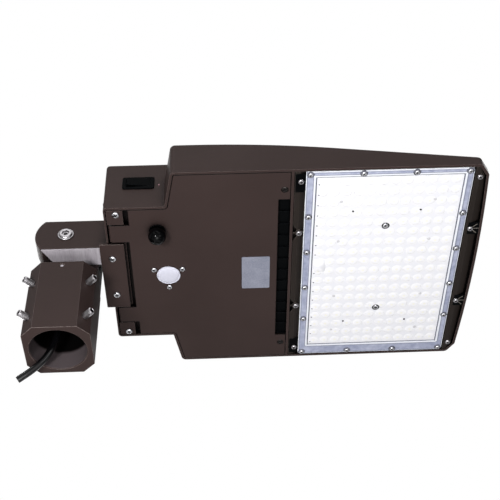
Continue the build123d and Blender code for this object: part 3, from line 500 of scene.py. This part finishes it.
def turned(rings, steps=36, inner=0):
    """A closed mesh of rings about Z. A ring is a radius and a height, and the radius may be a
    rule of the angle."""
    shape = bmesh.new()
    loops = []
    for radius, height in rings:
        angles = [tau * step / steps for step in range(steps)]
        sizes = [radius(angle) if callable(radius) else radius for angle in angles]
        loops.append([shape.verts.new((r * cos(a), r * sin(a), height)) for r, a in zip(sizes, angles)])
    skin(shape, loops, inner)
    return shape


def hexagon(flats):
    """The radius of a hexagon, by its width over flats."""
    return lambda angle: flats / 2 / cos((angle % (pi / 3)) - pi / 6)


def cross_slot(reach, half):
    """The radius of a cross recess, by its reach and half its wing's thickness."""

    def radius(angle):
        across, along = abs(cos(angle)) + 1e-6, abs(sin(angle)) + 1e-6
        return max(min(reach / across, half / along), min(reach / along, half / across))

    return radius


def put(whole, shape, place, out, spin=0.0):
    """Adds a shape to a group, with its Z axis turned to point out and its origin at a place."""
    mesh = bpy.data.meshes.new("loose")
    turn = Vector((0, 0, 1)).rotation_difference(Vector(out)).to_matrix().to_4x4()
    turn = turn @ Matrix.Rotation(spin, 4, "Z")
    bmesh.ops.transform(shape, matrix=Matrix.Translation(Vector(place)) @ turn, verts=shape.verts)
    bmesh.ops.scale(shape, vec=(mm, mm, mm), verts=shape.verts)
    shape.to_mesh(mesh)
    shape.free()
    whole.from_mesh(mesh)
    bpy.data.meshes.remove(mesh)


def piece(name, whole, finish, body, stock, *nodes, second=None, smooth=32.0):
    """Makes a group of shapes one piece of the light, riding on its body."""
    bmesh.ops.recalc_face_normals(whole, faces=whole.faces)
    mesh = bpy.data.meshes.new(name)
    whole.to_mesh(mesh)
    whole.free()
    mesh.shade_smooth()
    mesh.set_sharp_from_angle(angle=radians(smooth))
    made = bpy.data.objects.new(name, mesh)
    made.data.materials.append(finish)
    if second:
        made.data.materials.append(second)
    bpy.context.scene.collection.objects.link(made)
    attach(made, body)
    if nodes:
        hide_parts(*nodes)


steel = uneven(
    "stainless_steel",
    light=shade(236, 236, 240),
    dark=shade(202, 202, 208),
    roughness=0.24,
    grain=500.0,
    grain_height=0.01,
    drift=120.0,
    metallic=1.0,
)
# Duller steel, painted dark in its crevices as painted shade.
dull_steel = uneven(
    "dull_stainless_steel",
    light=shade(196, 193, 196),
    dark=shade(158, 155, 158),
    roughness=0.34,
    grain=500.0,
    grain_height=0.02,
    metallic=1.0,
    crevice=2.6,
    clear_of=(0.3, 0.75),
    murk=0.06,
)
# Sockets and cross recesses take this dark finish as painted shade.
recess_shade = uneven(
    "socket_shadow",
    light=shade(52, 48, 50),
    dark=shade(16, 14, 14),
    roughness=0.5,
    grain=300.0,
    metallic=0.6,
)
screw_r = 4.0
screw_inner = 31.5
screw_outer = 56.5
thread_pitch = 1.25
thread_depth = 0.015
screw_chamfer = 0.7
screw_socket = 4.0
screw_socket_depth = 4.0
screw_low = 21.0
screw_high = 72.5
thread = [(screw_r - 1.0, 0.0), (screw_r - thread_depth, 0.8)]
turns = int((screw_outer - screw_inner - 3.0) / thread_pitch)
for turn in range(turns):
    foot = 0.9 + turn * thread_pitch
    thread += [(screw_r - thread_depth, foot + 0.1), (screw_r, foot + 0.5), (screw_r, foot + 0.7)]
screw_length = screw_outer - screw_inner
thread += [
    (screw_r - thread_depth, screw_length - 1.6),
    (screw_r - 0.1, screw_length - 1.2),
    (screw_r - 0.1, screw_length - screw_chamfer),
    (screw_r - screw_chamfer, screw_length),
    (hexagon(screw_socket + 0.3), screw_length),
    (hexagon(screw_socket), screw_length - 0.3),
    (hexagon(screw_socket), screw_length - screw_socket_depth),
]
for number, (side, height) in enumerate(
    ((-1, screw_low), (-1, screw_high), (1, screw_low), (1, screw_high)), start=1
):
    out = Vector((side, -1, 0)).normalized()
    whole = bmesh.new()
    inner_end = out * screw_inner + Vector((0, 0, height))
    put(whole, turned(thread, 48, inner=2), inner_end, out, spin=number * 0.4)
    piece(
        f"clamp_screw_{number}",
        whole,
        dull_steel,
        f"screw_{number}",
        "stainless_steel",
        f"set_screw_{number}",
        second=recess_shade,
    )


# Mounting arm
# The same bronze casting: one cheek laps the sleeve's ear, and a base plate carries the head, its
# end painted dark as painted shade in the gap beside it. Its corners take a painted highlight and
# its crevices painted shade. The cheek's lower face is machined to bare aluminium with fine cutter
# marks, and a disc of the same metal in the sleeve's small dimple is a painted highlight there.
arm_coat = uneven(
    "arm_powder_coat",
    edge_paint=shade(138, 126, 122),
    crevice=25.0,
    clear_of=(0.45, 0.8),
    **bronze_shades,
    **coat,
)
# The plate's end, in a narrow gap, is painted near black as painted shade.
plate_end = 71.0
plate_end_shade = 14, 11, 10
place = add_node(arm_coat.node_tree, "TexCoord").outputs["Object"]
along = through(arm_coat.node_tree, place, ("DOT_PRODUCT", (1 / mm, 0, 0)))
paint(arm_coat, along, plate_end - 0.4, plate_end + 0.4, plate_end_shade, soft=0.2)
dress(arm_coat, "mount_arm")
machined = uneven(
    "machined_aluminium",
    light=shade(190, 184, 190),
    dark=shade(160, 153, 160),
    roughness=0.42,
    grain=420.0,
    grain_height=0.02,
    drift=60.0,
    stretch=(3.0, 0.25, 1.0),
    metallic=0.15,
)
dress(machined, "arm_wear_strips")

# A bare disc in the sleeve's dimple stands for the dimple's painted highlight.
whole = bmesh.new()
put(whole, turned([(2.0, 0.0), (1.8, 0.3)], 24), (0, -36.5, 95.4), (0, -1, 0))
piece("dimple_highlight", whole, machined, "sleeve", "bare_aluminium")


# Pivot bolt, washer and nut
# A stainless socket-head bolt joins the cheek to the ear. Its rounded head sits on the cheek, and
# a plain washer and hexagon nut hold it on the ear's far side.
bolt_x = 0.0
bolt_z = 147.0
cheek = 38.0
bolt_head = [
    (9.4, 0.0),
    (9.4, 0.9),
    (9.1, 1.3),
    (8.3, 1.4),
    (8.1, 2.2),
    (7.4, 3.1),
    (6.4, 3.5),
    (5.2, 3.6),
    (hexagon(8.4), 3.5),
    (hexagon(7.6), 3.1),
    (hexagon(7.4), 1.6),
    (2.4, 1.3),
]
ear_back = 21.2
whole = bmesh.new()
put(whole, turned(bolt_head, 48, inner=1), (bolt_x, -cheek, bolt_z), (0, -1, 0), spin=0.35)
shank = [(4.9, 0.0), (4.9, cheek + ear_back + 2.0)]
bolt_thread = [(5.0, 0.0)]
for turn in range(6):
    bolt_thread += [(4.6, 0.2 + turn * 1.5), (5.0, 0.9 + turn * 1.5), (5.0, 1.1 + turn * 1.5)]
bolt_thread += [(4.6, 9.6), (4.2, 10.0)]
put(whole, turned(shank, 32), (bolt_x, -cheek, bolt_z), (0, 1, 0))
put(whole, turned(bolt_thread, 32), (bolt_x, ear_back + 2.0, bolt_z), (0, 1, 0))
piece("pivot_socket_bolt", whole, dull_steel, "head", "stainless_steel", "pivot_bolt", second=recess_shade)
dress(dull_steel, "pivot_washer", "pivot_nut", "arm_bolts", "hinge_pins", "driver_screws")


# Small screws
# Stainless pan-head machine screws with a cross recess hold the base plate, the corner blocks, the
# door, the light engine, the lens and the motion sensor. Most are bright, the light engine's are
# duller and the door's two are blackened.
def pan_head(radius, height):
    """A pan head with a cross recess, 1 mm of its shank below the seat."""
    slot_reach = radius * 0.62
    wing = radius * 0.17
    return [
        (radius * 0.5, -1.0),
        (radius * 0.5, 0.0),
        (radius, 0.0),
        (radius, height * 0.35),
        (radius * 0.93, height * 0.7),
        (radius * 0.78, height * 0.93),
        (radius * 0.68, height),
        (cross_slot(slot_reach, wing), height),
        (cross_slot(slot_reach * 0.6, wing * 0.8), height * 0.1),
    ]


def screw_row(name, spots, out, radius, height, body, node, finish=steel):
    """Pan-head screws, one at each spot, as one piece that stands for a CAD node."""
    whole = bmesh.new()
    for count, spot in enumerate(spots):
        put(whole, turned(pan_head(radius, height), 48, inner=2), spot, out, spin=0.5 + 1.1 * count)
    piece(name, whole, finish, body, "stainless_steel", node, second=recess_shade)


down = (0, 0, -1)
small_r = 4.2
small_rise = 2.2
plate_seat = 112.4
block_seat = 113.6
engine_seat = 114.2
latch_seat = 115.6
screw_row(
    "base_plate_screws",
    [(56.0, y, plate_seat) for y in (-29.6, 29.6)],
    down,
    small_r,
    small_rise,
    "head",
    "plate_screws",
)
screw_row(
    "corner_screws",
    [(65.0, y, block_seat) for y in (-96.0, 96.0)],
    down,
    small_r,
    small_rise,
    "head",
    "corner_block_screws",
)
engine_screw_r = 3.4
engine_spots = ((271.8, 60.0), (271.8, 136.0), (470.0, 59.5), (470.0, 136.0))
screw_row(
    "engine_screws",
    [(x, y * side, engine_seat) for side in (-1, 1) for x, y in engine_spots],
    down,
    engine_screw_r,
    small_rise,
    "head",
    "module_screws",
    dull_steel,
)
blackened = uneven(
    "blackened_steel",
    light=shade(70, 66, 64),
    dark=shade(40, 37, 36),
    roughness=0.3,
    grain=500.0,
    grain_height=0.02,
    metallic=1.0,
)
screw_row(
    "door_latch_screws",
    [(254.3, y, latch_seat) for y in (-125.5, 125.5)],
    down,
    small_r,
    small_rise,
    "door",
    "door_screws",
    blackened,
)


# Housing and corner blocks
# The housing is one thin-walled casting in the bronze coat. Two blocks in its near corners carry
# the door's hinge pins, each held by one screw. A small pale pip sits beside the switch.
dress(bronze, "housing", "corner_blocks")
pip = uneven("switch_pip", light=shade(158, 120, 128), dark=shade(140, 102, 110), roughness=0.3)
whole = bmesh.new()
put(whole, turned([(1.1, -0.3), (1.1, 0.2), (0.6, 0.5)], 16), (113.4, -105.5, 152.7), (0, -1, 0))
piece("switch_pip", whole, pip, "head", "black_plastic")


# Driver door
# A flat cast plate in the same coat closes the bay on two pins at the knuckle end and two screws at
# the other, and carries a blank foil plate. Its edges are painted nearly black, as painted shade in
# its seams, and its crevices are painted dark as painted shade too.
door_coat = uneven(
    "door_powder_coat",
    edge_paint=shade(6, 5, 5),
    crevice=14.0,
    clear_of=(0.45, 0.85),
    **bronze_shades,
    **{**coat, "edge": 1.4},
)
dress(door_coat, "driver_door")
label_stock = uneven(
    "rating_label_foil",
    light=shade(160, 162, 178),
    dark=shade(134, 138, 154),
    roughness=0.38,
    grain=600.0,
    grain_height=0.01,
    drift=50.0,
    metallic=0.35,
)
dress(label_stock, "rating_plate")


# Photocell
# A polished black dome of tinted plastic on a moulded base looks down through the door, and a
# plastic nut behind holds it. The switch, the sensor's body and the air baffle are the same plastic.
black_gloss = uneven(
    "black_tinted_dome",
    light=shade(6, 6, 7),
    dark=shade(2, 2, 3),
    roughness=0.05,
    grain=60.0,
    grain_height=0.0,
    drift=30.0,
    specular=0.09,
    polish=0.03,
)
# Moulded black plastic, with a faint painted highlight along its corners and painted shade in its crevices.
black_plastic = uneven(
    "black_moulded_plastic",
    light=shade(8, 9, 10),
    dark=shade(3, 4, 5),
    roughness=0.5,
    grain=1100.0,
    grain_height=0.02,
    specular=0.02,
    edge=0.4,
    edge_paint=shade(30, 32, 36),
    crevice=4.0,
)
dress(black_gloss, "photocell_dome")
dress(black_plastic, "rocker", "photocell_base", "photocell_nut", "sensor_body", "switch_body", "air_baffle")


# Motion sensor
# A milky white lens, slightly domed, snaps into a body behind the door that three small screws
# hold.
milky = uneven(
    "milky_sensor_lens",
    light=shade(217, 217, 230),
    dark=shade(206, 206, 219),
    roughness=0.3,
    grain=200.0,
    grain_height=0.02,
    specular=0.2,
)
sensor_x = 119.4
sensor_y = 0.5
sensor_seat = 113.4
sensor_screw_r = 3.4
sensor_screw_rise = 2.0
whole = bmesh.new()
cover = [(13.9, 0.0), (13.9, 0.7), (13.5, 1.2), (12.9, 1.35), (12.7, 1.1)]
cover += [(12.4, 1.1), (11.6, 1.6), (8.6, 2.2), (4.4, 2.5)]
put(whole, turned(cover, 64), (sensor_x, sensor_y, sensor_seat), down)
piece("motion_lens", whole, milky, "door", "white_plastic", "sensor_lens")
ring = 19.4
spots = []
for angle in (radians(90), radians(210), radians(330)):
    spots.append((sensor_x + ring * cos(angle), sensor_y + ring * sin(angle), sensor_seat))
screw_row("motion_screws", spots, down, sensor_screw_r, sensor_screw_rise, "door", "sensor_screws")


# Light engine
# The heat sink is a darker coated casting, its fins up in the open and its plate framing the lens
# from behind, with a painted highlight on its corners and painted shade in its crevices. Thin black
# plates are painted shade in the pockets by its near corner screws and at each far strut, where
# three light bars are a painted highlight on the strut's ribs. The white board and the grey seal
# are between it and the lens.
def framed(rings, steps=5):
    """A mesh of rounded rectangles. A ring is its ends in X, its half width in Y, its corner
    radius, its height, and its middle in Y where that isn't 0."""
    shape = bmesh.new()
    loops = []
    for low, high, half, radius, height, *middle_y in rings:
        loop = []
        for quarter, (x, y) in enumerate(((high, half), (low, half), (low, -half), (high, -half))):
            centre = (x - radius if x == high else x + radius, y - radius if y > 0 else y + radius)
            for step in range(steps + 1):
                angle = (quarter + step / steps) * pi / 2
                across = centre[1] + radius * sin(angle) + sum(middle_y)
                loop.append(shape.verts.new((centre[0] + radius * cos(angle), across, height)))
        loops.append(loop)
    skin(shape, loops)
    return shape


def shade_plate(low, high, half):
    """A thin plate with rounded corners, 0.15 mm thick, laid in as painted shade."""
    return framed([(low, high, half, 0.8, 0.0), (low, high, half, 0.8, -0.15)])


def bar(length, half):
    """A thin flat bar, from 0 along X, 0.3 mm thick."""
    return framed([(0.0, length, half, 0.2, 0.0), (0.0, length, half, 0.2, -0.3)])


engine_coat = uneven(
    "engine_powder_coat",
    light=shade(43, 37, 34),
    dark=shade(35, 30, 27),
    edge_paint=shade(104, 96, 90),
    crevice=12.0,
    clear_of=(0.25, 0.7),
    **coat,
)
dress(engine_coat, "heat_sink")
# Light bars on the far struts' ribs are a painted highlight.
highlit_rib = uneven("highlit_rib", light=shade(112, 106, 98), dark=shade(84, 78, 72), roughness=0.4)
upward = (0, 0, 1)
near_far = ((-1, "near"), (1, "far"))
# Black plates in the pockets are painted shade.
for side, end in near_far:
    whole = bmesh.new()
    put(whole, shade_plate(-5.6, 5.4, 13.0), (271.2, 133.6 * side, engine_seat), upward)
    piece(f"pocket_{end}", whole, black_plastic, "head", "black_plastic")
for side, end in near_far:
    whole = bmesh.new()
    put(whole, shade_plate(-4.0, 9.4, 9.0), (471.2, 59.5 * side, engine_seat), upward)
    piece(f"strut_pocket_{end}", whole, black_plastic, "head", "black_plastic")
    whole = bmesh.new()
    for lean in (-0.72, 0.0, 0.72):
        put(whole, bar(10.4, 0.45), (470.0, 59.5 * side, engine_seat - 0.1), upward, spin=lean)
    piece(f"strut_ribs_{end}", whole, highlit_rib, "head", "bronze_casting")
board_white = uneven("white_board", light=shade(238, 238, 236), dark=shade(224, 224, 222), roughness=0.45)
dress(board_white, "led_board")
grey_seal = uneven("silicone_seal", light=shade(176, 176, 180), dark=shade(150, 150, 154), roughness=0.5)
dress(grey_seal, "lens_gasket")


# Lens frame
# The lens is one clear moulding, screwed down through bosses. Its flange is faintly violet, with a
# lip outside and a bead that stands up round the field, painted with highlights and lines of painted
# shade along their edges. It is hollow above for the board.
lens_low, lens_high, lens_half = 277.0, 463.0, 149.3
field_low, field_high, field_half, field_y = 289.0, 452.6, 136.2, -4.6


def outer(inset, height):
    """A ring of the lens's rim, drawn in from it."""
    return (lens_low + inset, lens_high - inset, lens_half - inset, max(4.0 - inset, 0.5), height)


def inner(inset, height):
    """A ring of the lens's field, drawn in from it."""
    return (field_low + inset, field_high - inset, field_half - inset, max(1.6 - inset, 0.5), height, field_y)


def outside(tree, low, high, half, middle_y=0.0):
    """How far outside a rectangle of the lens a place lies, in mm, or less than 0 inside it."""
    last = through(
        tree,
        add_node(tree, "TexCoord").outputs["Object"],
        ("SUBTRACT", ((low + high) / 2 * mm, middle_y * mm, 0)),
        ("ABSOLUTE", None),
        ("SUBTRACT", ((high - low) / 2 * mm, half * mm, 0)),
        ("MULTIPLY", (1 / mm, 1 / mm, 1 / mm)),
    )
    sides = add_node(tree, "SeparateXYZ")
    tree.links.new(last, sides.inputs[0])
    return larger(tree, sides.outputs["X"], sides.outputs["Y"])


clear = uneven(
    "clear_lens_flange",
    light=shade(188, 192, 212),
    dark=shade(146, 152, 178),
    roughness=0.2,
    grain=140.0,
    grain_height=0.03,
    drift=26.0,
    specular=0.3,
    edge=0.5,
    edge_paint=shade(250, 250, 255),
    crevice=2.0,
    murk=0.25,
)
to_rim = outside(clear.node_tree, lens_low, lens_high, lens_half)
to_field = outside(clear.node_tree, field_low, field_high, field_half, field_y)
# Painted highlights along the lip and the bead's wall, and lines of painted shade beside the lip, outside the
# bead and in the groove round the field.
paint(clear, to_rim, -1.0, 1.0, (246, 249, 255))
paint(clear, to_rim, -1.9, -1.3, (124, 128, 148))
paint(clear, to_field, 3.3, 3.9, (118, 122, 140))
paint(clear, to_field, 0.9, 3.0, (246, 248, 254))
paint(clear, to_field, -2.0, 0.7, (104, 106, 118))
board_room = (field_low + 2.8, field_high - 2.4, 135.2, 1.0)
rim = [
    (*board_room, 114.75),
    (*board_room, 116.35),
    outer(0.15, 116.35),
    outer(0.15, 113.95),
    outer(0.5, 113.45),
    outer(1.4, 113.4),
    outer(1.8, 113.8),
    inner(-4.6, 113.8),
    inner(-4.0, 113.3),
    inner(-1.2, 113.3),
    inner(-0.8, 113.7),
    inner(-0.2, 113.9),
    inner(0.4, 114.3),
    inner(0.5, 114.7),
]
whole = bmesh.new()
put(whole, framed(rim), (0, 0, 0), upward)
flange_face = 113.4
lens_screws = [(x, y * side, flange_face) for side in (-1, 1) for x in (282.0, 458.0) for y in (29.0, 84.0)]
lens_screws += [(x, 145.2 * side, flange_face) for side in (-1, 1) for x in (282.0, 340.5, 399.0, 458.0)]
piece("lens_frame", whole, clear, "head", "clear_polycarbonate", "lens_panel")
boss = [(4.4, -0.6), (4.4, -0.05), (4.1, 0.1)]
# The bosses are darker grey, with painted shade in their crevices.
boss_dark = uneven(
    "screw_boss", light=shade(120, 122, 136), dark=shade(84, 86, 98), roughness=0.3, crevice=1.5
)
whole = bmesh.new()
for spot in lens_screws:
    put(whole, turned(boss, 32), spot, down)
piece("lens_bosses", whole, boss_dark, "head", "clear_polycarbonate")
screw_row("lens_pan_screws", lens_screws, down, 3.0, 1.6, "head", "lens_screws")


# Lens field
# Twelve by eighteen low optics are moulded into the field, one over each light source, whose yellow
# shows faintly through, but none at the board's two screws. Those screws, four pins, eight pads, a
# connector and a row of gate marks show too.
pitch_x, pitch_y = 13.5, 15.2
field_x = (field_low + field_high) / 2
optic = uneven(
    "optic_field",
    light=shade(254, 253, 255),
    dark=shade(249, 248, 252),
    roughness=0.2,
    grain=90.0,
    grain_height=0.02,
    drift=70.0,
    specular=0.2,
)
tree = optic.node_tree
from_optic = through(
    tree,
    add_node(tree, "TexCoord").outputs["Object"],
    ("SUBTRACT", (field_x * mm, field_y * mm, 0)),
    ("DIVIDE", (pitch_x * mm, pitch_y * mm, 1)),
    ("FRACTION", None),
    ("SUBTRACT", (0.5, 0.5, 0)),
    ("MULTIPLY", (pitch_x, pitch_y, 0)),
    ("LENGTH", None),
)
paint(optic, from_optic, 6.4, 30.0, (243, 243, 248), soft=0.8)
paint(optic, from_optic, -2.0, 1.6, (251, 249, 240), soft=0.6)
screws_seen = [(371.3, y) for y in (-67.4, 67.4)]
pins = [(x, y) for x in (332.2, 409.1) for y in (-90.6, 90.6)]
pads = [(x, y * side) for x in (318.0, 423.8) for y in (45.2, 105.4) for side in (-1, 1)]
whole = bmesh.new()
face = 114.05
put(whole, framed([inner(0.5, 114.7), inner(0.5, face)]), (0, 0, 0), upward)
bump = [(5.8, -0.2), (5.6, 0.0), (4.6, 0.1), (3.2, 0.17), (1.6, 0.2)]
columns, rows = 12, 18
screw_clear = 40
for column in range(columns):
    for row in range(rows):
        x = field_x + (column - 5.5) * pitch_x
        y = field_y + (row - 8.5) * pitch_y
        if all((x - a) ** 2 + (y - b) ** 2 > screw_clear for a, b in screws_seen):
            put(whole, turned(bump, 20), (x, y, face), down)
connector = [
    (field_low + 2.2, field_low + 16.0, 10.0, 0.8, face),
    (field_low + 2.6, field_low + 15.6, 9.6, 0.8, face - 0.5),
]
put(whole, framed(connector), (0, -7.0, 0), upward)
piece("optic_panel", whole, optic, "head", "clear_polycarbonate", smooth=50.0)
whole = bmesh.new()
for x, y in screws_seen:
    put(whole, turned([(4.6, 0.0), (4.6, 0.25), (4.3, 0.3)], 32), (x, y, face), down)
for x, y in pins:
    put(whole, turned([(1.2, 0.0), (1.2, 0.35), (0.9, 0.5)], 16), (x, y, face), down)
piece("lens_wells", whole, black_plastic, "head", "black_plastic")
whole = bmesh.new()
for x, y in pads:
    put(whole, turned([(1.9, 0.0), (1.9, 0.3), (1.6, 0.42)], 20), (x, y, face), down)
pad = uneven("pale_pads", light=shade(226, 225, 228), dark=shade(206, 205, 208), roughness=0.4)
piece("board_pads", whole, pad, "head", "silicone_seal")
whole = bmesh.new()
for row in range(rows):
    spot = (field_low + 3.2, field_y + (row - 8.3) * pitch_y, face)
    put(whole, turned([(0.9, 0.0), (0.7, 0.2)], 12), spot, down)
piece("gate_marks", whole, boss_dark, "head", "clear_polycarbonate")
whole = bmesh.new()
for x, y in screws_seen:
    put(whole, turned(pan_head(3.3, 0.5), 48, inner=2), (x, y, face - 0.25), down, spin=0.4)
piece("board_screws", whole, steel, "head", "stainless_steel", second=recess_shade)


# Bay contents
# A potted driver in an aluminium can, a terminal block and a surge protector sit over the door.
can = uneven(
    "driver_can",
    light=shade(206, 206, 208),
    dark=shade(176, 176, 180),
    roughness=0.36,
    stretch=(0.3, 3.0, 1.0),
    metallic=0.7,
)
dress(can, "led_driver")
terminal_white = uneven(
    "terminal_plastic", light=shade(226, 224, 216), dark=shade(208, 206, 198), roughness=0.42
)
dress(terminal_white, "terminal_block")
epoxy = uneven("blue_epoxy", light=shade(52, 78, 128), dark=shade(36, 58, 104), roughness=0.28)
dress(epoxy, "surge_protector")
